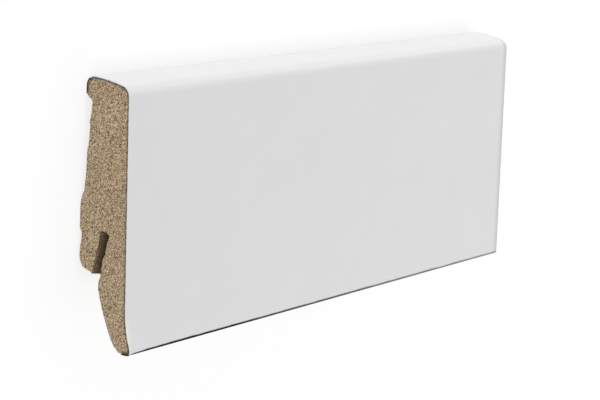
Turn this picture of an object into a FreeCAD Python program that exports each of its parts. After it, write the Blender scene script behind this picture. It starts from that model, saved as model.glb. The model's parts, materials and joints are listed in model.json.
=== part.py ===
import FreeCAD, Part
import math
import os
import re
import Sketcher

# A cut length of foil-wrapped MDF skirting board, lying on its back with the white face up.
# X runs along the moulding, Y up the board from the toe to the top edge, Z out of the face.
# The section is drawn in the YZ plane: Y is the level above the toe, and Z the height over
# the bearing land of the back. Depths are measured back from the white face.

# Driving sizes in millimetres and degrees: name, value, what it is
SIZES = [
    ("board_length", 206.0, "length of the cut piece"),
    ("board_height", 80.0, "height over the foil, toe to top edge"),
    ("board_thickness", 18.0, "white face to the bearing land of the back"),
    ("foil_thickness", 0.3, "decor foil"),
    ("foil_return", 2.2, "how far back the foil turns under the toe"),
    ("toe_radius", 1.2, "rounding of the white face into the toe"),
    ("toe_width", 3.4, "underside of the toe, front to back"),
    ("toe_back_radius", 1.4, "rounding behind the toe"),
    ("foot_radius", 70.0, "slight belly of the back of the foot"),
    ("foot_depth", 10.7, "thickness of the foot below the lobe"),
    ("foot_bend_level", 18.5, "where the foot starts to thin down to the toe"),
    ("nose_radius", 3.3, "rounding of the white face into the top"),
    ("crown_radius", 50.0, "bow of the sloping top"),
    ("crown_depth", 15.6, "where the top is highest"),
    ("lip_depth", 16.2, "thickness at the top of the back"),
    ("lip_radius", 3.1, "rounding of the top into the back"),
    ("lip_drop", 4.8, "how far the foil runs down the back, from the top edge"),
    ("relief_drop", 7.7, "top of the hollow of the back, below the top edge"),
    ("relief_depth", 14.2, "thickness at the top of the hollow"),
    ("relief_radius", 420.0, "curve of the hollow"),
    ("shoulder_level", 47.0, "where the hollow meets the shoulder of the lobe"),
    ("shoulder_radius", 13.0, "rounding of the shoulder"),
    ("land_level", 41.0, "top of the flat bearing land"),
    ("lobe_level", 23.0, "underside of the lobe at the wall"),
    ("lobe_radius", 2.0, "rounding of the lower back edge of the lobe"),
    ("groove_width", 2.8, "clip groove"),
    ("groove_depth", 11.8, "middle of the mouth of the groove"),
    ("groove_reach", 13.8, "clip groove, mouth to blind end"),
    ("groove_tilt", 14.0, "lean of the groove towards the white face"),
    ("groove_end_radius", 0.4, "corners of the blind end"),
    ("flare_reach", 2.2, "how far the toe is splayed forward at the left cut end"),
    ("flare_level", 14.0, "where the splayed toe leaves the face"),
    ("flare_tip_radius", 1.3, "rounding of the moulding below the tip of the splayed toe"),
    ("flare_run", 3.5, "how far it reaches along the board"),
    ("overrun", 4.0, "how far cutters pass the surface that they cut"),
]
NAMES = {name for name, _, _ in SIZES}

# How far an edge may lie from a corner of the section and still be taken for it
REACH = 0.001

# Formulas that both outlines use
CORE_FACE = "board_thickness - foil_thickness"
CORE_TOP = "board_height - foil_thickness"
BACK_OF_LIP = "board_thickness - lip_depth"
BACK_OF_FOOT = "board_thickness - foot_depth"
LIP_LEVEL = "board_height - lip_drop"
CROWN_FRONT = "board_height - crown_radius + sqrt((crown_radius - {0})^2 - (crown_depth - {0})^2)"


def linked(formula):
    """The formula with the name of each size pointed at the sheet."""
    return re.sub(
        r"[a-z_]+", lambda word: f"sizes.{word[0]}" if word[0] in NAMES else word[0], formula
    )


def number(obj, formula):
    """What a formula on the sheet comes to."""
    value = obj.evalExpression(linked(formula))
    return float(getattr(value, "Value", value))


def make_sheet(doc):
    """The spreadsheet that drives every size."""
    sheet = doc.addObject("Spreadsheet::Sheet", "sizes")
    for row, (name, value, note) in enumerate(SIZES, start=1):
        sheet.set(f"A{row}", name)
        sheet.set(f"B{row}", str(value))
        sheet.set(f"C{row}", note)
        sheet.setAlias(f"B{row}", name)
    doc.recompute()
    return sheet


def arc_between(start, end, bulge):
    """The short arc from start to end, clockwise round an outline. A positive radius bulges
    out of the outline and a negative one is hollow."""
    chord = end - start
    outward = FreeCAD.Vector(-chord.y, chord.x, 0).normalize() * math.copysign(1, bulge)
    rise = abs(bulge) - math.sqrt(bulge**2 - (chord.Length / 2) ** 2)
    return Part.Arc(start, (start + end) / 2 + outward * rise, end)


def bind(sketch, kind, geometry, formula):
    """A dimension of the sketch that follows a formula on the sheet."""
    value = number(sketch, formula)
    index = sketch.addConstraint(Sketcher.Constraint(kind, *geometry, value))
    sketch.setExpression(f"Constraints[{index}]", linked(formula))


def outline(body, name, corners, role="YZ_Plane"):
    """A closed sketch in one of the body's own planes, given clockwise. Each corner has its
    two coordinates and, where an arc leads on to the next corner, that arc's radius."""
    sketch = body.newObject("Sketcher::SketchObject", name)
    plane = next(item for item in body.Origin.OriginFeatures if item.Role == role)
    sketch.AttachmentSupport = [(plane, "")]
    sketch.MapMode = "FlatFace"
    places = [FreeCAD.Vector(number(body, c[0]), number(body, c[1]), 0) for c in corners]
    ends = []
    for index, corner in enumerate(corners):
        start, end = places[index], places[(index + 1) % len(places)]
        if len(corner) == 3:
            sketch.addGeometry(arc_between(start, end, number(body, corner[2])), False)
        else:
            sketch.addGeometry(Part.LineSegment(start, end), False)
        forwards = (sketch.getPoint(index, 1) - start).Length < REACH
        ends.append((1, 2) if forwards else (2, 1))
    for index, corner in enumerate(corners):
        after = (index + 1) % len(corners)
        joint = Sketcher.Constraint("Coincident", index, ends[index][1], after, ends[after][0])
        sketch.addConstraint(joint)
        bind(sketch, "DistanceX", (-1, 1, index, ends[index][0]), corner[0])
        bind(sketch, "DistanceY", (-1, 1, index, ends[index][0]), corner[1])
        if len(corner) == 3:
            bind(sketch, "Radius", (index,), f"abs({corner[2]})")
    return sketch


def run_out(body, sketch, name):
    """The sketch run out along the board, half to each side of the middle."""
    feature = body.newObject("PartDesign::Pad", name)
    feature.Profile = sketch
    feature.Midplane = True
    feature.setExpression("Length", linked("board_length"))
    sketch.Visibility = False
    body.Document.recompute()
    return feature


def rounded(body, base, name, corner, radius):
    """The body with the long edge at that corner of the section rounded."""
    level, height = number(body, corner[0]), number(body, corner[1])
    found = [
        f"Edge{index}"
        for index, edge in enumerate(base.Shape.Edges, start=1)
        if all(math.hypot(v.Y - level, v.Z - height) < REACH for v in edge.Vertexes)
    ]
    feature = body.newObject("PartDesign::Fillet", name)
    feature.Base = (base, found)
    feature.setExpression("Radius", linked(radius))
    body.Document.recompute()
    return feature


def along_groove(reach, side):
    """The corner of the groove that far from its mouth, and that far towards the white face."""
    mouth_height = "(board_thickness - groove_depth)"
    mouth_level = f"(lobe_level - {mouth_height} * tan(groove_tilt))"
    return (
        f"{mouth_level} + ({reach}) * cos(groove_tilt) - ({side}) * sin(groove_tilt)",
        f"{mouth_height} + ({reach}) * sin(groove_tilt) + ({side}) * cos(groove_tilt)",
    )


def make_core(doc):
    """The MDF moulding: thin foot, grooved lobe, hollowed back and sloping top."""
    toe_front = ("foil_thickness", CORE_FACE)
    nose = (CROWN_FRONT.format("foil_thickness"), CORE_FACE, "crown_radius - foil_thickness")
    crown = (CORE_TOP, "board_thickness - crown_depth")
    lip_top = (CORE_TOP, f"{BACK_OF_LIP} + foil_thickness")
    lip_end = (LIP_LEVEL, f"{BACK_OF_LIP} + foil_thickness")
    relief = ("board_height - relief_drop", "board_thickness - relief_depth", "-relief_radius")
    shoulder_run = "(shoulder_level - land_level)"
    shoulder = (
        "shoulder_level",
        f"shoulder_radius - sqrt(shoulder_radius^2 - {shoulder_run}^2)",
        "shoulder_radius",
    )
    land = ("land_level", "0")
    lobe = ("lobe_level", "0")
    armpit = (f"lobe_level - ({BACK_OF_FOOT}) * tan(groove_tilt)", BACK_OF_FOOT)
    foot = ("foot_bend_level", BACK_OF_FOOT, "foot_radius")
    toe_back = ("foil_thickness", "board_thickness - toe_width")

    body = doc.addObject("PartDesign::Body", "mdf_core")
    corners = [toe_front, nose, crown, lip_top, lip_end, relief, shoulder, land, lobe]
    corners += [armpit, foot, toe_back]
    step = run_out(body, outline(body, "core_section", corners), "core_run")
    step = rounded(body, step, "toe_front_round", toe_front, "toe_radius - foil_thickness")
    step = rounded(body, step, "nose_round", nose, "nose_radius - foil_thickness")
    step = rounded(body, step, "lip_round", lip_top, "lip_radius - foil_thickness")
    step = rounded(body, step, "lobe_round", lobe, "lobe_radius")
    step = rounded(body, step, "toe_back_round", toe_back, "toe_back_radius")
    step = cut_groove(body, step)
    splay_toe(body, step, CORE_FACE, "foil_thickness", "flare_tip_radius")
    return body


def cut_groove(body, base):
    """The clip groove, sawn up into the lobe from below."""
    half = "groove_width / 2"
    face_end = along_groove("groove_reach", half)
    back_end = along_groove("groove_reach", f"-{half}")
    corners = [
        along_groove("-overrun", half),
        face_end,
        back_end,
        along_groove("-overrun", f"-{half}"),
    ]
    pocket = body.newObject("PartDesign::Pocket", "clip_groove")
    pocket.Profile = outline(body, "groove_section", corners)
    pocket.Midplane = True
    pocket.setExpression("Length", linked("board_length + 2 * overrun"))
    body.Document.recompute()
    if pocket.Shape.Volume >= base.Shape.Volume:
        raise SystemExit("the clip groove cuts nothing")
    step = rounded(body, pocket, "groove_face_corner", face_end, "groove_end_radius")
    return rounded(body, step, "groove_back_corner", back_end, "groove_end_radius")


def hollow_radius(run, rise):
    """The radius of an arc that leaves a flat and rises that much over that run."""
    return f"(({run})^2 + ({rise})^2) / (2 * ({rise}))"


def splay_toe(body, base, face, floor, tip_radius):
    """The toe at the left cut end, splayed forward by the saw and fading out along the board."""
    inner = "board_thickness - foil_return"
    tip_level = f"{floor} + {tip_radius}"
    top = f"{face} + flare_reach"
    sweep = hollow_radius(f"flare_level - ({tip_level})", "flare_reach")
    corners = [
        (floor, inner),
        (floor, f"{top} - ({tip_radius})", tip_radius),
        (tip_level, top, f"-({sweep})"),
        ("flare_level", face),
        ("flare_level", inner),
    ]
    sketch = outline(body, "splayed_toe_section", corners)
    sketch.setExpression("AttachmentOffset.Base.z", linked("-board_length / 2"))
    splay = body.newObject("PartDesign::Pad", "splayed_toe")
    splay.Profile = sketch
    splay.setExpression("Length", linked("flare_run"))
    body.Document.recompute()
    if splay.Shape.Volume <= base.Shape.Volume:
        raise SystemExit("the splayed toe adds nothing")

    cut_end = "-board_length / 2"
    clear = f"{top} + overrun"
    corners = [
        (f"{cut_end} + flare_run", face, hollow_radius("flare_run", "flare_reach")),
        (cut_end, top),
        (cut_end, clear),
        (f"{cut_end} + flare_run", clear),
    ]
    fade = body.newObject("PartDesign::Pocket", "splayed_toe_fade")
    fade.Profile = outline(body, "fade_section", corners, "XZ_Plane")
    fade.Midplane = True
    fade.setExpression("Length", linked("2 * board_height"))
    body.Document.recompute()
    if fade.Shape.Volume >= splay.Shape.Volume:
        raise SystemExit("the splayed toe does not fade out")


def make_foil(doc, core):
    """The decor foil: a blank with the board's outer face, less the moulding inside it. It
    turns under the toe, runs up the face and over the top, and ends as a lip on the back."""
    toe = ("0", "board_thickness")
    nose = (CROWN_FRONT.format("0"), "board_thickness", "crown_radius")
    crown = ("board_height", "board_thickness - crown_depth")
    lip_top = ("board_height", BACK_OF_LIP)
    lip_end = (LIP_LEVEL, BACK_OF_LIP)
    inside = (LIP_LEVEL, "board_thickness - foil_return")
    toe_end = ("0", "board_thickness - foil_return")

    blank = doc.addObject("PartDesign::Body", "foil_blank")
    corners = [toe, nose, crown, lip_top, lip_end, inside, toe_end]
    step = run_out(blank, outline(blank, "foil_section", corners), "foil_run")
    step = rounded(blank, step, "foil_toe_round", toe, "toe_radius")
    step = rounded(blank, step, "foil_nose_round", nose, "nose_radius")
    step = rounded(blank, step, "foil_lip_round", lip_top, "lip_radius")
    splay_toe(blank, step, "board_thickness", "0", "flare_tip_radius + foil_thickness")

    foil = doc.addObject("Part::Cut", "white_foil")
    foil.Base = blank
    foil.Tool = core
    doc.recompute()
    return blank, foil


def lying_angle(sheet):
    """How far the face leans when the board lies on the shoulder of its lobe and on its lip:
    the angle of the line that touches both roundings from below."""
    level = sheet.board_height - sheet.lip_radius - sheet.land_level
    lip_middle = sheet.board_thickness - sheet.lip_depth + sheet.lip_radius
    fall = sheet.shoulder_radius - lip_middle
    wider = sheet.shoulder_radius - sheet.lip_radius
    return math.degrees(math.asin(wider / math.hypot(level, fall)) - math.atan2(fall, level))


def lay_down(doc, sheet, blank, core, foil):
    """Lay the board on its back, with the middle of its outline over the origin."""
    turn = FreeCAD.Rotation(FreeCAD.Vector(1, 0, 0), -lying_angle(sheet))
    for body in (blank, core):
        body.Placement = FreeCAD.Placement(FreeCAD.Vector(), turn)
    doc.recompute()
    bounds = core.Shape.optimalBoundingBox()
    bounds.add(foil.Shape.optimalBoundingBox())
    to_origin = FreeCAD.Vector(0, -bounds.Center.y, -bounds.ZMin)
    for body in (blank, core):
        body.Placement = FreeCAD.Placement(to_origin, turn)
    doc.recompute()


def check(doc, parts):
    """Stop before anything is written where a step failed."""
    for item in doc.Objects:
        if "Invalid" in item.State or "Error" in item.State:
            raise SystemExit(f"{item.Label} has failed: {item.State}")
    for part in parts:
        if part.Shape.isNull() or not part.Shape.isValid() or len(part.Shape.Solids) != 1:
            raise SystemExit(f"{part.Label} is not one valid solid")


def main():
    doc = FreeCAD.newDocument("skirting_board")
    sheet = make_sheet(doc)
    core = make_core(doc)
    blank, foil = make_foil(doc, core)
    lay_down(doc, sheet, blank, core, foil)
    parts = [core, foil]
    check(doc, parts)
    os.makedirs("parts", exist_ok=True)
    for part in parts:
        part.Shape.exportStep(f"parts/{part.Label}.step")
        box = part.Shape.optimalBoundingBox()
        print(f"{part.Label}: {part.Shape.Volume / 1000:.2f} cm3, {box}")
    print(f"lies {lying_angle(sheet):.2f} degrees out of parallel with the floor")


main()
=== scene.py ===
import json
import math
import random

import bmesh
import bpy
import numpy as np
from mathutils import Matrix, Vector, noise
from mathutils.geometry import delaunay_2d_cdt


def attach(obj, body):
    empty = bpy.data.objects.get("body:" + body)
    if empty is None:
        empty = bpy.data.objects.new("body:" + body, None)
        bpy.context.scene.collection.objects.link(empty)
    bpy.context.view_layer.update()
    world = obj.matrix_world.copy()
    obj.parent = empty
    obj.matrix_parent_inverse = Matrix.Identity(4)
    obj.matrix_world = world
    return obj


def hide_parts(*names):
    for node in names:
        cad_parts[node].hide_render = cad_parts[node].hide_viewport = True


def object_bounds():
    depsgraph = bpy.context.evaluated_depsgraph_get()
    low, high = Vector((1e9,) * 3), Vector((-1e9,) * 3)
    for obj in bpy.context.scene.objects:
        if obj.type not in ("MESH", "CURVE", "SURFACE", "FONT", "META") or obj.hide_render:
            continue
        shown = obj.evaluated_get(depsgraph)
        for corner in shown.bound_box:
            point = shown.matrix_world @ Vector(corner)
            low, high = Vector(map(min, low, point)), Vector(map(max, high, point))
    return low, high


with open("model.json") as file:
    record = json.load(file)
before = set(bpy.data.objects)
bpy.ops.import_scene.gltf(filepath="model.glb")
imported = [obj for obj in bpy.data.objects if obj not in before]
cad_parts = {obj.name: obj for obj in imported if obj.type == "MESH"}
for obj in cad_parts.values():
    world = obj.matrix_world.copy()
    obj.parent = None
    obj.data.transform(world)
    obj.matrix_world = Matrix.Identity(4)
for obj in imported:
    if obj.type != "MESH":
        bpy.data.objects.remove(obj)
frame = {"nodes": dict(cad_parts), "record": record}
CAD_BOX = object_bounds()

# A short sawn length of foil-wrapped MDF skirting board, lying on its back with the white face
# up. Both pieces are swept from the outlines of the CAD nodes' ends, with the wear and relief
# of the real material added. Lengths are in metres; MM turns millimetres into metres.
# Places on the board are (x, level, height): x runs along the moulding, level up the board
# from the toe, and height out of the bearing land of the back towards the white face. An
# outline is a closed ring of (level, height) points, and from_end is the distance to a cut end.
MM = 0.001

# Mesh density: the steps between points round the two outlines and over the sawn ends, the
# first step along the board at a cut end, and how much longer each next one is
OUTLINE_STEP = 0.36 * MM
FOIL_STEP = 0.3 * MM
CAP_STEP = 0.36 * MM
FIRST_STATION = 0.1 * MM
STATION_GROWTH = 1.2

# Reading an outline: points nearer than this are one point, points this near an end lie on it,
# a sharper turn than this is a corner, and an edge this many times its neighbour is a straight
WELD = 0.001 * MM
END_SLACK = 0.002 * MM
CORNER = math.radians(12)
LINE_RATIO = 2.5

# Points over the sawn ends, as shares of their step: between rows, jitter, and clear border
ROW_SHARE = 0.87
JITTER_SHARE = 0.25
BORDER_SHARE = 0.55

# How far one seed's noise lies from the next one's, and where most of a noise's values lie
SEED_SHIFT = (7.31, 3.17, 5.53)
NOISE_SPAN = (0.3, 0.7)

# An edge of the meshes is shaded as a sharp one above this angle
SHARP_EDGE = math.radians(35)

# The section: the white face's height, the foil's thickness, the height of its edge under the
# toe and the level of its edge on the back, and where the back ends and the toe begins
FACE_HEIGHT = 18.0 * MM
FOIL = 0.3 * MM
FOIL_TOE_EDGE = 15.8 * MM
FOIL_BACK_EDGE = 75.2 * MM
BACK_HEIGHT = 5.0 * MM
TOE_HEIGHT = 14.0 * MM

# The splayed toe at the left cut end: how far it comes forward, the levels between which it
# bends, how far it runs along the board, the height of the toe's inner side, how much its
# underside is lifted, and the level where that ends
SPLAY_REACH = 2.18 * MM
SPLAY_LEVELS = (1.6 * MM, 14.0 * MM)
SPLAY_RUN = 3.5 * MM
TOE_INSIDE = 14.6 * MM
TOE_LIFT = 0.75 * MM
LIFT_LEVEL = 6.0 * MM

# The lip on the back, drawn down a little at the left cut end: how much, the levels where this
# starts, is full and ends, the height where it stops, and how far it runs along the board
LIP_DRAG = 0.55 * MM
LIP_LEVELS = (79.0 * MM, FOIL_BACK_EDGE, 69.0 * MM)
LIP_HEIGHT = 6.0 * MM
LIP_RUN = 6.0 * MM

# The lobe behind the clip groove, worn short at the left cut end: how much, the levels where
# this is full and where it ends, and how far it runs along the board
LOBE_LOSS = 0.65 * MM
LOBE_LEVELS = (23.5 * MM, 29.0 * MM)
LOBE_RUN = 6.0 * MM

# The clip groove: middle of its mouth, lean, reach and half width. A point belongs to it this
# far outside its walls, this near its end, and over this span of depths for torn fibre
GROOVE_MOUTH = (21.45 * MM, 6.2 * MM)
GROOVE_LEAN = math.radians(14)
GROOVE_REACH = 13.8 * MM
GROOVE_HALF = 1.4 * MM
WALL_SLACK = 0.2 * MM
GROOVE_END_SLACK = 0.6 * MM
TORN_SPAN = (-1.0 * MM, 14.2 * MM)

# Wear at the left cut end. Each: wall, level where it starts, is deepest and ends, depth into
# the material (out of it below 0) and how far it runs along the board, all in millimetres
WEAR = [
    ("back", 35.4, 34.0, 28.0, 0.75, 5.0),
    ("back", 47.2, 46.4, 44.6, 0.2, 4.0),
    ("back", 67.8, 66.8, 66.0, -0.35, 1.5),
    ("back", 60.0, 58.6, 52.0, -0.3, 4.0),
    ("back", 71.4, 70.4, 68.6, 0.2, 2.5),
    ("back", 74.6, 73.0, 71.0, 0.55, 4.0),
    ("back", 27.0, 23.4, 20.0, 0.8, 6.0),
    ("toe", 4.0, 0.9, 0.1, 0.45, 3.0),
    ("groove", 28.4, 27.4, 22.0, -0.35, 5.0),
    ("groove_end", 40.0, 35.0, 30.0, 0.45, 6.0),
]

# Torn fibre on the bare sides: depth everywhere, more depth at a cut end, and how fast that
# dies away along the board. The groove's walls are torn deeper. Its lumps come in two sizes,
# and the fine ones count for this much beside the coarse ones' half
SIDE_TEAR = (0.025 * MM, 0.09 * MM, 0.8 * MM)
GROOVE_TEAR = (0.05 * MM, 0.22 * MM, 3.0 * MM)
COARSE_FUZZ = 1.1 * MM
FINE_FUZZ = 0.35 * MM
FINE_FUZZ_SHARE = 0.35

# Relief of the sawn ends: size and depth of its coarse and its fine lumps, and its share left
# at the border. INWARD is which way along x leads into the board at the left and right ends
COARSE_RELIEF = (1.4 * MM, 0.03 * MM)
FINE_RELIEF = (0.45 * MM, 0.07 * MM)
BORDER_RELIEF = 0.4
INWARD = (1, -1)

# Pits in the sawn ends: how many to an end, their sizes and depths in millimetres, how far
# they lean, and how long they are for their width
PIT_COUNT = 260
PIT_SIZES = (0.3, 0.75)
PIT_DEPTHS = (0.15, 0.5)
PIT_LEAN = 0.6
PIT_STRETCH = 1.7

# The dark glue line, with painted shade beside the foil: how far it fades out from the foil, in
# millimetres and more under the toe, where it also paints the shadow under the toe, the level up
# to which that is so at the left and right ends, and its strength at the foil, of which no more
# than 1 shows
GLUE_AND_SHADE_WIDTH = 0.75
TOE_GLUE_AND_SHADOW_WIDTH = 1.1
GLUE_AND_SHADE_STRENGTH = 1.2
TOE_GLUE_AND_SHADOW_LEVELS = (2.4 * MM, 0.8 * MM)

# How far from a cut end the groove's walls look sawn, and where their painted shade is full
SAWN_RUN = 4.0 * MM
GROOVE_SHADE_RUN = 6.0 * MM

# The ragged edge of the foil at both cuts: size of its lumps and depth
RAGGED_EDGE = (0.8 * MM, 0.05 * MM)

# At the left cut, the foil's own edge is painted black as shadow where it lies under the toe, up
# to the first level, and on the back, up to the second level and lower than the height (in
# millimetres)
SHADOWED_TOE_LEVEL = 0.4
SHADOWED_BACK_LEVEL = 79.2
SHADOWED_BACK_HEIGHT = 5.0

# The photograph's camera, as the board stands in it: yaw of the board's length from the line
# of sight, the camera's downward pitch and its roll, its lens on a 36 mm sensor, and the
# distance and pixel of the near lower corner of the white face
PHOTO_SIZE = (600, 400)
SENSOR = 36.0
LENS = 124.22
YAW = math.radians(35.906)
PITCH = math.radians(10.286)
ROLL = math.radians(1.931)
CORNER_DISTANCE = 592.0 * MM
CORNER_PIXEL = (124.79, 358.17)
CLIP_START = 10.0 * MM

# The floor's half width, how far the soft shade beside the board reaches on it, the direction
# from which the floor is lit where that shade is worked out, and its glow in shade and open
FLOOR_HALF = 8.0
SHADE_REACH = 7.0 * MM
SHADE_FACING = (-0.5, 0.0, 0.87)
FLOOR_GLOW = (0.81, 0.905)
WORLD_LIGHT = 0.24

# The soft square lamps: name, place in the row frame, width in metres and power in watts
LAMPS = [
    ("end_light", (-1.2, 0.25, 0.7), 0.8, 3.8),
    ("overhead_light", (0.0, 0.1, 1.4), 0.9, 1.15),
    ("front_light", (0.5, -0.8, 1.05), 0.7, 4.3),
    ("front_right_light", (0.9, -0.6, 0.9), 0.7, 3.25),
    ("right_light", (0.9, 0.1, 0.9), 0.7, 2.2),
    ("top_light", (0.2, 1.3, 0.45), 0.7, 5.45),
    ("back_light", (0.1, 1.3, 0.2), 0.6, 1.0),
    ("back_left_light", (-0.8, 1.1, 0.2), 0.5, 1.2),
    ("low_top_light", (1.2, 0.85, 0.32), 0.5, 3.0),
]


def mount(name):
    """A mount's place and outward axis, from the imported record."""
    found = next(m for m in frame["record"]["mounts"] if m["name"] == name)
    return Vector(found["pos_m"]), Vector(found["axis"]).normalized()


def board_frame():
    """The matrix from places on the board to the row frame."""
    toe, down = mount("toe_underside")
    land, back = mount("wall_land")
    up, out = -down, -back
    origin = up * toe.dot(up) + out * land.dot(out)
    along = up.cross(out)
    turn = Matrix((along, up, out)).transposed().to_4x4()
    return Matrix.Translation(origin) @ turn


BOARD = board_frame()
NEAR_X = CAD_BOX[0].x
FAR_X = CAD_BOX[1].x


def end_outline(node, x):
    """The outline of a CAD node's end face at x: (level, height) points, anticlockwise."""
    bm = bmesh.new()
    bm.from_mesh(frame["nodes"][node].data)
    bm.transform(BOARD.inverted())
    bmesh.ops.remove_doubles(bm, verts=bm.verts, dist=WELD)
    at_end = {v for v in bm.verts if abs(v.co.x - x) < END_SLACK}
    caps = {f for f in bm.faces if at_end.issuperset(f.verts)}
    after = {}
    for cap in caps:
        for loop in cap.loops:
            other = [f for f in loop.edge.link_faces if f not in caps]
            if other:
                after[loop.vert] = loop.link_loop_next.vert
    start = next(iter(after))
    path = [start]
    while after[path[-1]] is not start:
        path.append(after[path[-1]])
    points = [Vector((v.co.y, v.co.z)) for v in path]
    bm.free()
    turns = sum(a.x * b.y - b.x * a.y for a, b in zip(points, points[1:] + points[:1]))
    return points if turns > 0 else points[::-1]


def resampled(points, step):
    """The outline with a point every step, its arcs made round and its corners kept."""
    count = len(points)
    edges = [points[(i + 1) % count] - points[i] for i in range(count)]
    leaving = [edge.normalized() for edge in edges]
    tangents = []
    for i in range(count):
        if leaving[i - 1].angle(leaving[i]) > CORNER:
            tangents.append(None)
        elif edges[i].length > LINE_RATIO * edges[i - 1].length:
            tangents.append(leaving[i])
        elif edges[i - 1].length > LINE_RATIO * edges[i].length:
            tangents.append(leaving[i - 1])
        else:
            tangents.append((leaving[i - 1] + leaving[i]).normalized())
    made = []
    for i in range(count):
        chord, start, end = leaving[i], tangents[i], tangents[(i + 1) % count]
        if start is None and end is None:
            start = end = chord
        start = start or 2 * chord.dot(end) * chord - end
        end = end or 2 * chord.dot(start) * chord - start
        length = edges[i].length
        pieces = max(1, math.ceil(length / step))
        for k in range(pieces):
            t = k / pieces
            blend = t * t * (3 - 2 * t)
            bow = (t ** 3 - 2 * t * t + t) * start + (t ** 3 - t * t) * end
            made.append(points[i] + blend * edges[i] + length * bow)
    return np.array(made)


def inward_normals(outline):
    """The unit normals of the outline, pointing into the material."""
    run = np.roll(outline, -1, 0) - np.roll(outline, 1, 0)
    run /= np.linalg.norm(run, axis=1)[:, None]
    return np.stack([-run[:, 1], run[:, 0]], 1)


def stations():
    """Where along the board the swept outlines stand: close together at both cut ends."""
    middle = (NEAR_X + FAR_X) / 2
    half = [0.0]
    step = FIRST_STATION
    while half[-1] + step < FAR_X - middle:
        half.append(half[-1] + step)
        step *= STATION_GROWTH
    return [NEAR_X + s for s in half] + [middle] + [FAR_X - s for s in reversed(half)]


def smooth(t):
    """0 below 0, 1 above 1, and a soft step between."""
    t = np.clip(t, 0.0, 1.0)
    return t * t * (3 - 2 * t)


def fading(from_end, run):
    """1 at a cut end, and softly down to 0 where the run along the board is over."""
    return float(smooth(1 - from_end / run))


def splay_push(outline, from_end):
    """How far the splay moves each point of an outline, before its depth in the toe counts,
    and the splay's share here of what it is at the cut end."""
    fade_radius = (SPLAY_RUN ** 2 + SPLAY_REACH ** 2) / (2 * SPLAY_REACH)
    left = max(SPLAY_RUN - from_end, 0.0)
    share = (fade_radius - math.sqrt(fade_radius ** 2 - left ** 2)) / SPLAY_REACH
    bottom, top = SPLAY_LEVELS
    rise = top - bottom
    radius = (rise ** 2 + SPLAY_REACH ** 2) / (2 * SPLAY_REACH)
    below = np.clip(top - outline[:, 0], 0.0, rise)
    return (radius - np.sqrt(radius ** 2 - below ** 2)) * share, share


def splay(outline, from_end):
    """The outline near the left cut end: its toe pushed forward, in a hollow curve up the
    board and along it, the toe's underside lifted a little, and the lip drawn down."""
    level, height = outline.T
    push, share = splay_push(outline, from_end)
    depth = smooth((height - TOE_INSIDE) / (FACE_HEIGHT - TOE_INSIDE - FOIL))
    top, full, bottom = LIP_LEVELS
    drag = smooth((top - level) / (top - full)) * smooth((level - bottom) / (full - bottom))
    drag *= height < LIP_HEIGHT
    moved = outline.copy()
    moved[:, 0] += TOE_LIFT * share * smooth(1 - level / LIFT_LEVEL)
    moved[:, 0] -= LIP_DRAG * drag * fading(from_end, LIP_RUN)
    moved[:, 1] += push * depth
    return moved


def groove_place(points):
    """Distance into the clip groove from its mouth, and across it towards the white face."""
    offset = points - np.array(GROOVE_MOUTH)
    axis = np.array([math.cos(GROOVE_LEAN), math.sin(GROOVE_LEAN)])
    side = np.array([-axis[1], axis[0]])
    return offset @ axis, offset @ side


def worn(outline, normals, from_end):
    """The moulding's outline with the wear of the left cut end and its lobe worn short."""
    into, across = groove_place(outline)
    between_walls = (abs(across) < GROOVE_HALF + WALL_SLACK) & (into > 0)
    at_end = between_walls & (abs(into - GROOVE_REACH) < GROOVE_END_SLACK)
    in_groove = between_walls & (into < GROOVE_REACH)
    walls = {
        "back": (outline[:, 1] < BACK_HEIGHT) & ~in_groove,
        "toe": outline[:, 1] > TOE_HEIGHT,
        "groove": in_groove & (across > 0) & ~at_end,
        "groove_end": at_end,
    }
    loss = np.zeros(len(outline))
    level = outline[:, 0] / MM
    for wall, start, deepest, end, depth, run in WEAR:
        upper = smooth((start - level) / (start - deepest))
        lower = smooth((level - end) / (deepest - end))
        loss += walls[wall] * upper * lower * depth * MM * fading(from_end, run * MM)
    left = outline + normals * loss[:, None]
    full, none = LOBE_LEVELS
    lobe = (across < 0) * smooth((none - outline[:, 0]) / (none - full))
    left[:, 0] += LOBE_LOSS * lobe * fading(from_end, LOBE_RUN)
    return left


def fractal(points, scale, seed, octaves=4):
    """Fractal noise about -1 to 1 at each point; scale is the size of its largest lumps."""
    shift = Vector([seed * step for step in SEED_SHIFT])
    at = [Vector(p) / scale + shift for p in points]
    return np.array([noise.fractal(place, 1.0, 2.0, octaves) for place in at])


def inside(points, outline):
    """Which of the points lie inside the outline."""
    found = np.zeros(len(points), bool)
    for a, b in zip(outline, np.roll(outline, -1, 0)):
        if a[1] == b[1]:
            continue
        crosses = (points[:, 1] > a[1]) != (points[:, 1] > b[1])
        crossing = a[0] + (points[:, 1] - a[1]) * (b[0] - a[0]) / (b[1] - a[1])
        found ^= crosses & (points[:, 0] < crossing)
    return found


def gap_to(points, line):
    """Each point's distance to the nearest stretch of a line of points, closed or open."""
    nearest = np.full(len(points), np.inf)
    for a, b in zip(line, line[1:]):
        run = b - a
        t = np.clip((points - a) @ run / max(run @ run, 1e-18), 0, 1)
        nearest = np.minimum(nearest, np.linalg.norm(points - a - t[:, None] * run, axis=1))
    return nearest


def cap_points(outline, step, seed):
    """Points spread over the inside of an outline, each about a step from the next."""
    low, high = outline.min(0), outline.max(0)
    dice = random.Random(seed)
    shift = JITTER_SHARE
    grid = []
    for r, level in enumerate(np.arange(low[0], high[0], step * ROW_SHARE)):
        for height in np.arange(low[1] + (r % 2) * step / 2, high[1], step):
            jitter = (dice.uniform(-shift, shift) * step, dice.uniform(-shift, shift) * step)
            grid.append((level + jitter[0], height + jitter[1]))
    grid = np.array(grid)
    grid = grid[inside(grid, outline)]
    return grid[gap_to(grid, np.vstack([outline, outline[:1]])) > BORDER_SHARE * step]


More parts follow.
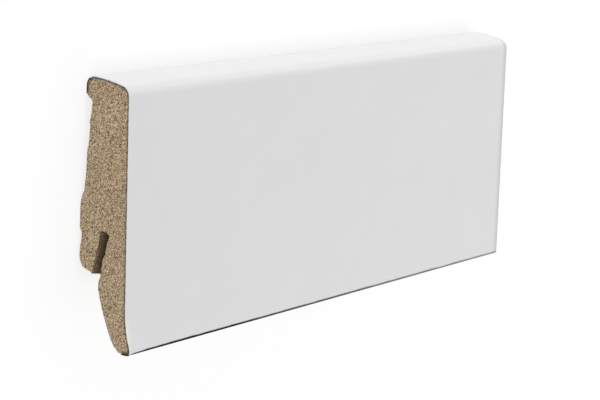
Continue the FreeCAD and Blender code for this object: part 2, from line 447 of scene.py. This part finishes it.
def triangles(points, border):
    """The triangles that fill the border, the first points of the list, through all of them."""
    ring = [(i, (i + 1) % border) for i in range(border)]
    scaled = [Vector(p) / MM for p in points]
    _, _, faces, sources, _, _ = delaunay_2d_cdt(scaled, ring, [], 1, 1e-7)
    return [tuple(sources[v][0] for v in face) for face in faces]


def swept_mesh(rows, xs, cap_step):
    """A closed mesh through the outlines in rows at xs. Its ends are filled, with points
    inside where cap_step says how far apart. Returns its points, faces and two caps."""
    count = len(rows[0])
    points = [(x, level, height) for x, row in zip(xs, rows) for level, height in row]
    faces = []
    for r in range(len(rows) - 1):
        for i in range(count):
            j = (i + 1) % count
            base, above = r * count, (r + 1) * count
            faces.append((base + i, base + j, above + j, above + i))
    caps = []
    for r, x in ((0, xs[0]), (len(rows) - 1, xs[-1])):
        outline = rows[r]
        extra = cap_points(outline, cap_step, r) if cap_step else np.empty((0, 2))
        first = len(points)
        points += [(x, level, height) for level, height in extra]
        index = list(range(r * count, (r + 1) * count)) + list(range(first, len(points)))
        caps.append(index)
        for a, b, c in triangles(np.vstack([outline, extra]), count):
            corners = (index[a], index[b], index[c])
            faces.append(corners[::-1] if r == 0 else corners)
    return np.array(points), faces, caps


def made_object(name, points, faces, values):
    """A smooth-shaded object in the row frame, with named values for each of its points."""
    mesh = bpy.data.meshes.new(name)
    mesh.from_pydata([tuple(p) for p in points], [], faces)
    mesh.transform(BOARD)
    for key, numbers in values.items():
        layer = mesh.attributes.new(key, "FLOAT", "POINT")
        layer.data.foreach_set("value", np.asarray(numbers, np.float32))
    mesh.shade_smooth()
    mesh.set_sharp_from_angle(angle=SHARP_EDGE)
    mesh.validate()
    piece = bpy.data.objects.new(name, mesh)
    bpy.context.scene.collection.objects.link(piece)
    return piece


def tear_depth(tear, from_end):
    """How deep the fibre is torn at a distance from the nearest cut end."""
    everywhere, extra, run = tear
    return everywhere + extra * math.exp(-from_end / run)


def tear_sides(points, xs, normals, bare, in_groove):
    """Pull in the bare sides of the swept moulding unevenly, most of all at its cut ends."""
    count = len(normals)
    fuzz = fractal(points[: count * len(xs)], COARSE_FUZZ, 3)
    fine = fractal(points[: count * len(xs)], FINE_FUZZ, 5, 2)
    for r, x in enumerate(xs):
        from_end = min(x - NEAR_X, FAR_X - x)
        depth = tear_depth(SIDE_TEAR, from_end) + in_groove * tear_depth(GROOVE_TEAR, from_end)
        part = slice(r * count, (r + 1) * count)
        loss = bare * depth * (0.5 + 0.5 * fuzz[part] + FINE_FUZZ_SHARE * fine[part])
        points[part, 1:] += normals * loss[:, None]


def pits(points, count, seed):
    """Small pits torn out of the sawn fibre: their depth at each (level, height) point."""
    dice = random.Random(seed)
    low, high = points.min(0), points.max(0)
    depth = np.zeros(len(points))
    for _ in range(count):
        centre = [dice.uniform(low[k], high[k]) for k in (0, 1)]
        size = dice.uniform(*PIT_SIZES) * MM
        lean = dice.uniform(-PIT_LEAN, PIT_LEAN)
        offset = points - centre
        along = offset[:, 0] * math.cos(lean) + offset[:, 1] * math.sin(lean)
        across = offset[:, 1] * math.cos(lean) - offset[:, 0] * math.sin(lean)
        reach = np.hypot(along / PIT_STRETCH, across) / size
        depth += smooth(1 - reach) * dice.uniform(*PIT_DEPTHS) * MM
    return depth


def sawn_relief(places, border, side):
    """How deep the saw has torn each place of an end, whose first ones are its border."""
    coarse_size, coarse_depth = COARSE_RELIEF
    fine_size, fine_depth = FINE_RELIEF
    relief = coarse_depth * (1 + fractal(places, coarse_size, 11 + side, 2))
    relief += fine_depth * (1 + fractal(places, fine_size, 17 + side, 2))
    relief += pits(places[:, 1:], PIT_COUNT, 23 + side)
    relief[:border] *= BORDER_RELIEF
    return relief


def glue_and_shade_line(flat, bare, side):
    """How dark the glue between moulding and foil shows at each (level, height) of an end, with
    painted shade beside the foil and a painted shadow under the toe; the end's first points are
    its outline, and bare says which of those have no foil."""
    count = len(bare)
    start = next(i for i in range(count) if bare[i - 1] and not bare[i])
    wrapped = np.roll(flat[:count], -start, 0)[np.roll(~bare, -start)]
    under_toe = (flat[:, 0] < TOE_GLUE_AND_SHADOW_LEVELS[side]) & (flat[:, 1] > FOIL_TOE_EDGE)
    width = np.where(under_toe, TOE_GLUE_AND_SHADOW_WIDTH, GLUE_AND_SHADE_WIDTH) * MM
    return smooth(GLUE_AND_SHADE_STRENGTH - gap_to(flat, wrapped) / width)


def make_moulding():
    """The MDF moulding, with torn fibre on its sawn ends and wear at the left one."""
    plain = resampled(end_outline("mdf_core", FAR_X), OUTLINE_STEP)
    normals = inward_normals(plain)
    xs = stations()
    rows = [splay(worn(plain, normals, x - NEAR_X), x - NEAR_X) for x in xs]
    points, faces, caps = swept_mesh(rows, xs, CAP_STEP)

    bare = (plain[:, 0] < FOIL_BACK_EDGE) & (plain[:, 1] < FOIL_TOE_EDGE)
    into, across = groove_place(plain)
    in_groove = (into > TORN_SPAN[0]) & (into < TORN_SPAN[1])
    in_groove &= abs(across) < GROOVE_HALF + WALL_SLACK
    tear_sides(points, xs, normals, bare, in_groove)

    count = len(plain)
    swept = count * len(xs)
    from_end = np.minimum(points[:swept, 0] - NEAR_X, FAR_X - points[:swept, 0])
    groove_walls = np.tile(in_groove, len(xs))
    cut, glue_and_shade, groove_shade = np.zeros((3, len(points)))
    cut[:swept] = groove_walls * smooth(1 - from_end / SAWN_RUN)
    # Painted shade in the clip groove, darkest away from the cut ends
    groove_shade[:swept] = groove_walls * smooth(from_end / GROOVE_SHADE_RUN)
    for side, cap in enumerate(caps):
        points[cap, 0] += INWARD[side] * sawn_relief(points[cap], count, side)
        cut[cap] = 1.0
        # Glue line with painted shade beside the foil, and a painted shadow under the toe
        glue_and_shade[cap] = glue_and_shade_line(points[cap][:, 1:], bare, side)
    return made_object("mdf_moulding", points, faces, {"cut": cut, "glue_and_shade": glue_and_shade, "groove_shade": groove_shade})


def make_foil():
    """The decor foil, with a slightly ragged edge at both saw cuts."""
    plain = resampled(end_outline("white_foil", FAR_X), FOIL_STEP)
    xs = stations()
    rows = [splay(plain, x - NEAR_X) for x in xs]
    points, faces, caps = swept_mesh(rows, xs, None)
    level, height = np.tile(plain / MM, (len(xs), 1)).T
    far_gap = (FAR_X - points[:, 0]) / MM
    # Painted shadow: the foil's edge at the left cut is black under the toe and on the back lip
    gap_shadow = np.zeros(len(points))
    shadowed_back = (level < SHADOWED_BACK_LEVEL) & (height < SHADOWED_BACK_HEIGHT)
    gap_shadow[caps[0]] = ((level < SHADOWED_TOE_LEVEL) | shadowed_back)[caps[0]]
    bent = np.concatenate([splay_push(plain, x - NEAR_X)[0] for x in xs]) / SPLAY_REACH
    size, depth = RAGGED_EDGE
    for side, cap in enumerate(caps):
        ragged = depth * (1 + fractal(points[cap], size, 31 + side))
        points[cap, 0] += INWARD[side] * ragged
    values = {"level": level, "height": height, "far_gap": far_gap, "gap_shadow": gap_shadow, "bent": bent}
    return made_object("decor_foil", points, faces, values)


class Nodes:
    """A material's nodes, made and linked in short lines."""

    def __init__(self, name):
        self.material = bpy.data.materials.new(name)
        self.material.use_nodes = True
        self.tree = self.material.node_tree
        self.shader = self.tree.nodes["Principled BSDF"]

    def add(self, kind, inputs=None, **settings):
        """A new node, with values or links for its inputs and settings of its own."""
        made = self.tree.nodes.new(kind)
        for key, value in settings.items():
            setattr(made, key, value)
        for key, value in (inputs or {}).items():
            self.feed(made.inputs[key], value)
        return made

    def feed(self, socket, value):
        """Link the socket to another node's output, or set it to a plain value."""
        if isinstance(value, bpy.types.NodeSocket):
            self.tree.links.new(value, socket)
        else:
            socket.default_value = value

    def dress(self, **inputs):
        """Feed the shader's inputs, named with _ for each space."""
        for name, value in inputs.items():
            self.feed(self.shader.inputs[name.replace("_", " ")], value)

    def attribute(self, name):
        """A named value of the mesh's points."""
        return self.add("ShaderNodeAttribute", attribute_name=name).outputs["Fac"]

    def noise(self, at, scale, detail, roughness, distortion=0.0, stretch=None):
        """Soft noise with about scale lumps to a metre, finer where stretch is over 1."""
        if stretch:
            at = self.add("ShaderNodeMapping", {"Vector": at, "Scale": stretch}).outputs[0]
        inputs = {"Vector": at, "Scale": scale, "Detail": detail, "Roughness": roughness}
        inputs["Distortion"] = distortion
        return self.add("ShaderNodeTexNoise", inputs).outputs["Fac"]

    def math(self, operation, a, b):
        return self.add("ShaderNodeMath", {0: a, 1: b}, operation=operation).outputs[0]

    def between(self, value, low, high, out_low=0.0, out_high=1.0):
        """The value taken from one span to another, and held at its ends."""
        inputs = {"Value": value, "From Min": low, "From Max": high}
        inputs.update({"To Min": out_low, "To Max": out_high})
        return self.add("ShaderNodeMapRange", inputs).outputs["Result"]

    def ramp(self, value, stops):
        """A colour for the value, between stops of (place, colour)."""
        made = self.add("ShaderNodeValToRGB", {"Fac": value})
        elements = made.color_ramp.elements
        while len(elements) < len(stops):
            elements.new(0.5)
        for element, (place, colour) in zip(elements, stops):
            element.position = place
            element.color = colour
        return made.outputs["Color"]

    def mix(self, share, a, b):
        """Colour a, going over to colour b as the share goes to 1."""
        made = self.add("ShaderNodeMix", data_type="RGBA")
        self.feed(made.inputs[0], share)
        self.feed(made.inputs[6], a)
        self.feed(made.inputs[7], b)
        return made.outputs[2]

    def bumps(self, height, strength, distance):
        """A normal for small bumps of this height."""
        inputs = {"Height": height, "Strength": strength, "Distance": distance}
        return self.add("ShaderNodeBump", inputs).outputs["Normal"]

    def openness(self, distance, facing):
        """How open a surface is towards a direction, within a distance."""
        normal = self.add("ShaderNodeCombineXYZ", dict(zip("XYZ", facing))).outputs["Vector"]
        inputs = {"Distance": distance, "Normal": normal}
        return self.add("ShaderNodeAmbientOcclusion", inputs, samples=16).outputs["AO"]


# Colours of the moulding, in linear light: the sawn fibre and the milled surface from their
# darkest to their lightest grains, the painted shade in the groove and the glue with painted shade
FIBRE = [
    (0.36, (0.125, 0.074, 0.037, 1)),
    (0.45, (0.31, 0.212, 0.119, 1)),
    (0.52, (0.47, 0.346, 0.210, 1)),
    (0.62, (0.80, 0.640, 0.440, 1)),
]
MILLED = [(0.3, (0.21, 0.145, 0.085, 1)), (0.7, (0.42, 0.31, 0.20, 1))]
GROOVE_SHADE = (0.07, 0.04, 0.02, 1)
GROOVE_SHADE_SHARE = 0.75
GLUE_AND_SHADE = (0.045, 0.038, 0.030, 1)

# What the matted ground, the long fibres and the single grains add to its tone
MAT_SHARE = 0.55
FIBRE_SHARE = 0.45
GRAIN_SHARE = 0.26


def moulding_material():
    """Raw MDF: matted fibre where it is sawn, smoother where it is milled."""
    n = Nodes("mdf_fibre")
    at = n.add("ShaderNodeTexCoord").outputs["Object"]
    mat = n.noise(at, scale=4000.0, detail=2.0, roughness=0.7, distortion=0.5)
    stretch = (1.0, 0.6, 1.3)
    fibres = n.noise(at, scale=2800.0, detail=2.0, roughness=0.65, distortion=1.0, stretch=stretch)
    grains = n.add("ShaderNodeTexVoronoi", {"Vector": at, "Scale": 3800.0}).outputs["Color"]
    grains = n.add("ShaderNodeSeparateColor", {"Color": grains}).outputs["Red"]
    ground = n.math("MULTIPLY", mat, MAT_SHARE)
    value = n.math("ADD", ground, n.math("MULTIPLY", fibres, FIBRE_SHARE))
    single = n.math("MULTIPLY", n.math("SUBTRACT", grains, 0.5), GRAIN_SHARE)
    value = n.math("ADD", value, single)

    colour = n.mix(n.attribute("cut"), n.ramp(value, MILLED), n.ramp(value, FIBRE))
    # Painted shade deep in the clip groove
    colour = n.mix(n.math("MULTIPLY", n.attribute("groove_shade"), GROOVE_SHADE_SHARE), colour, GROOVE_SHADE)
    patches = n.noise(at, scale=900.0, detail=2.0, roughness=0.6)
    # Glue line with painted shade beside the foil and painted shadow under the toe, in patches
    glue_and_shade = n.math("MULTIPLY", n.attribute("glue_and_shade"), n.between(patches, 0.35, 0.6, 0.55, 1.0))
    colour = n.mix(glue_and_shade, colour, GLUE_AND_SHADE)
    n.dress(
        Base_Color=colour,
        Roughness=n.between(value, *NOISE_SPAN, 0.82, 0.95),
        Specular_IOR_Level=0.25,
        Normal=n.bumps(value, strength=0.6, distance=0.25 * MM),
    )
    return n.material


# Colours of the foil, in linear light: its faint mottle, painted shade on its back edge and its
# right cut, a painted highlight on the bent toe, and painted shadow along the toe's edge and in
# the gap behind it
MOTTLE = ((0.79, 0.79, 0.79, 1), (0.81, 0.81, 0.81, 1))
BACK_EDGE_SHADE = (0.74, 0.74, 0.74, 1)
RIGHT_CUT_SHADE = (0.58, 0.58, 0.58, 1)
BENT_TOE_HIGHLIGHT = (0.92, 0.92, 0.86, 1)
TOE_SHADOW_LINE = (0.03, 0.03, 0.03, 1)
GAP_SHADOW = (0.012, 0.011, 0.010, 1)

# Where those marks fade in, from nothing to full, in millimetres of height, level or distance
# from the right cut. The painted shadow line along the toe is thinner near the left cut and
# fainter near the right one
BACK_EDGE_SHADE_HEIGHTS = (6.0, 4.4)
BACK_EDGE_SHADE_LEVELS = (77.0, 78.5)
RIGHT_CUT_SHADE_GAPS = (3.2, 0.0)
RIGHT_CUT_SHADE_LEVELS = (76.4, 78.0)
TOE_SHADOW_LINE_LEVELS = (1.2, 0.9)
TOE_SHADOW_LINE_HEIGHTS = (15.4, 16.4)
TOE_SHADOW_LINE_THIN_GAPS = (205.0, 196.0)
TOE_SHADOW_LINE_FAINT_GAPS = (0.0, 150.0)
BENT_HIGHLIGHT_SHARES = (0.0, 0.28)


def toe_shadow_line(n, at, level, height, far_gap):
    """The share of the painted shadow line along the very edge of the toe."""
    wander = n.noise(at, scale=120.0, detail=3.0, roughness=0.6)
    level = n.math("ADD", level, n.between(wander, *NOISE_SPAN, -0.12, 0.12))
    width = n.between(far_gap, *TOE_SHADOW_LINE_THIN_GAPS, 0.45, 1.0)
    line = n.between(n.math("DIVIDE", level, width), *TOE_SHADOW_LINE_LEVELS)
    line = n.math("MULTIPLY", line, n.between(far_gap, *TOE_SHADOW_LINE_FAINT_GAPS, 0.6, 1.0))
    return n.math("MULTIPLY", line, n.between(height, *TOE_SHADOW_LINE_HEIGHTS))


def foil_material():
    """Satin white decor foil over fibreboard, with a faint orange peel."""
    n = Nodes("white_foil_satin")
    at = n.add("ShaderNodeTexCoord").outputs["Object"]
    names = ("level", "height", "far_gap", "gap_shadow", "bent")
    level, height, far_gap, gap_shadow, bent = (n.attribute(name) for name in names)
    mottle = n.noise(at, scale=55.0, detail=3.0, roughness=0.55)
    colour = n.mix(n.between(mottle, *NOISE_SPAN), *MOTTLE)

    # Painted shade on the lip's rounding on the back
    back_edge_shade = n.between(height, *BACK_EDGE_SHADE_HEIGHTS)
    back_edge_shade = n.math("MULTIPLY", back_edge_shade, n.between(level, *BACK_EDGE_SHADE_LEVELS))
    colour = n.mix(back_edge_shade, colour, BACK_EDGE_SHADE)
    # Painted shade over the last few millimetres at the right cut, less on the top
    right_cut_shade = n.math("POWER", n.between(far_gap, *RIGHT_CUT_SHADE_GAPS), 1.6)
    on_top = n.between(level, *RIGHT_CUT_SHADE_LEVELS, 1.0, 0.35)
    right_cut_shade = n.math("MULTIPLY", right_cut_shade, on_top)
    colour = n.mix(right_cut_shade, colour, RIGHT_CUT_SHADE)
    # Painted highlight on the splayed toe's flank
    colour = n.mix(n.between(bent, *BENT_HIGHLIGHT_SHARES), colour, BENT_TOE_HIGHLIGHT)
    # Painted shadow along the toe's very edge
    line = toe_shadow_line(n, at, level, height, far_gap)
    colour = n.mix(line, colour, TOE_SHADOW_LINE)
    # Painted shadow on the foil's edge at the left cut
    colour = n.mix(gap_shadow, colour, GAP_SHADOW)

    dull = n.math("MAXIMUM", line, n.math("MAXIMUM", right_cut_shade, gap_shadow))
    grain = n.noise(at, scale=1600.0, detail=2.0, roughness=0.5)
    wave = n.noise(at, scale=90.0, detail=2.0, roughness=0.5, stretch=(0.5, 1.0, 1.0))
    peel = n.math("ADD", n.math("MULTIPLY", grain, 0.15), wave)
    n.dress(
        Base_Color=colour,
        Roughness=n.between(mottle, *NOISE_SPAN, 0.42, 0.5),
        Specular_IOR_Level=n.between(dull, 0.0, 1.0, 0.4, 0.0),
        Normal=n.bumps(peel, strength=0.3, distance=0.05 * MM),
    )
    return n.material


def floor_material():
    """A plain pale floor that glows a little, like a lit studio sweep."""
    n = Nodes("pale_floor")
    near = n.openness(SHADE_REACH, SHADE_FACING)
    n.dress(
        Base_Color=(0.12, 0.12, 0.12, 1),
        Roughness=0.9,
        Specular_IOR_Level=0.0,
        Emission_Color=(1.0, 1.0, 1.0, 1),
        Emission_Strength=n.between(near, 0.5, 0.95, *FLOOR_GLOW),
    )
    return n.material


def make_floor():
    """The floor that the board lies on, square and much wider than the view."""
    mesh = bpy.data.meshes.new("floor")
    half = FLOOR_HALF
    corners = [(-half, -half, 0), (half, -half, 0), (half, half, 0), (-half, half, 0)]
    mesh.from_pydata(corners, [], [(0, 1, 2, 3)])
    floor = bpy.data.objects.new("floor", mesh)
    floor.data.materials.append(floor_material())
    bpy.context.scene.collection.objects.link(floor)


def make_lamp(name, place, size, power):
    """A soft square lamp at a place in the row frame, facing the board."""
    light = bpy.data.lights.new(name, "AREA")
    light.size = size
    light.energy = power
    lamp = bpy.data.objects.new(name, light)
    lamp.location = place
    lamp.rotation_mode = "QUATERNION"
    lamp.rotation_quaternion = (-Vector(place)).to_track_quat("-Z", "Y")
    bpy.context.scene.collection.objects.link(lamp)


def make_world():
    """The even white light from all round."""
    world = bpy.data.worlds.new("studio")
    bpy.context.scene.world = world
    world.use_nodes = True
    shade = world.node_tree.nodes["Background"]
    shade.inputs["Color"].default_value = (1.0, 1.0, 1.0, 1)
    shade.inputs["Strength"].default_value = WORLD_LIGHT


def make_camera():
    """The photograph's camera: the near lower corner of the white face falls on its pixel."""
    length = Vector((math.sin(YAW), 0, math.cos(YAW)))
    back = Vector((-math.cos(YAW), 0, math.sin(YAW)))
    down = Vector((0, 1, 0))
    tilt = Matrix.Rotation(ROLL, 3, "Z") @ Matrix.Rotation(PITCH, 3, "X")
    seen = Matrix((tilt @ length, -(tilt @ down), -(tilt @ back)))
    focal = LENS / SENSOR * PHOTO_SIZE[0]
    across = (CORNER_PIXEL[0] - PHOTO_SIZE[0] / 2) / focal
    below = (CORNER_PIXEL[1] - PHOTO_SIZE[1] / 2) / focal
    corner = Vector((across, below, 1)) * CORNER_DISTANCE
    place = Vector((NEAR_X, 0, FACE_HEIGHT)) - seen @ corner
    right, under, ahead = seen.col[0], seen.col[1], seen.col[2]
    turn = Matrix((right, -under, -ahead)).transposed().to_4x4()
    camera = bpy.data.cameras.new("camera")
    camera.lens = LENS
    camera.sensor_width = SENSOR
    camera.clip_start = CLIP_START
    holder = bpy.data.objects.new("camera", camera)
    holder.matrix_world = BOARD @ Matrix.Translation(place) @ turn
    bpy.context.scene.collection.objects.link(holder)
    bpy.context.scene.camera = holder


def place_piece(piece, node, material):
    """Dress a piece in its material, and let it stand for a CAD node of the board."""
    piece.data.materials.append(material)
    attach(piece, "root")
    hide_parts(node)


place_piece(make_moulding(), "mdf_core", moulding_material())
place_piece(make_foil(), "white_foil", foil_material())
make_floor()
make_world()
for lamp in LAMPS:
    make_lamp(*lamp)
make_camera()
bpy.context.scene.view_settings.view_transform = "Standard"
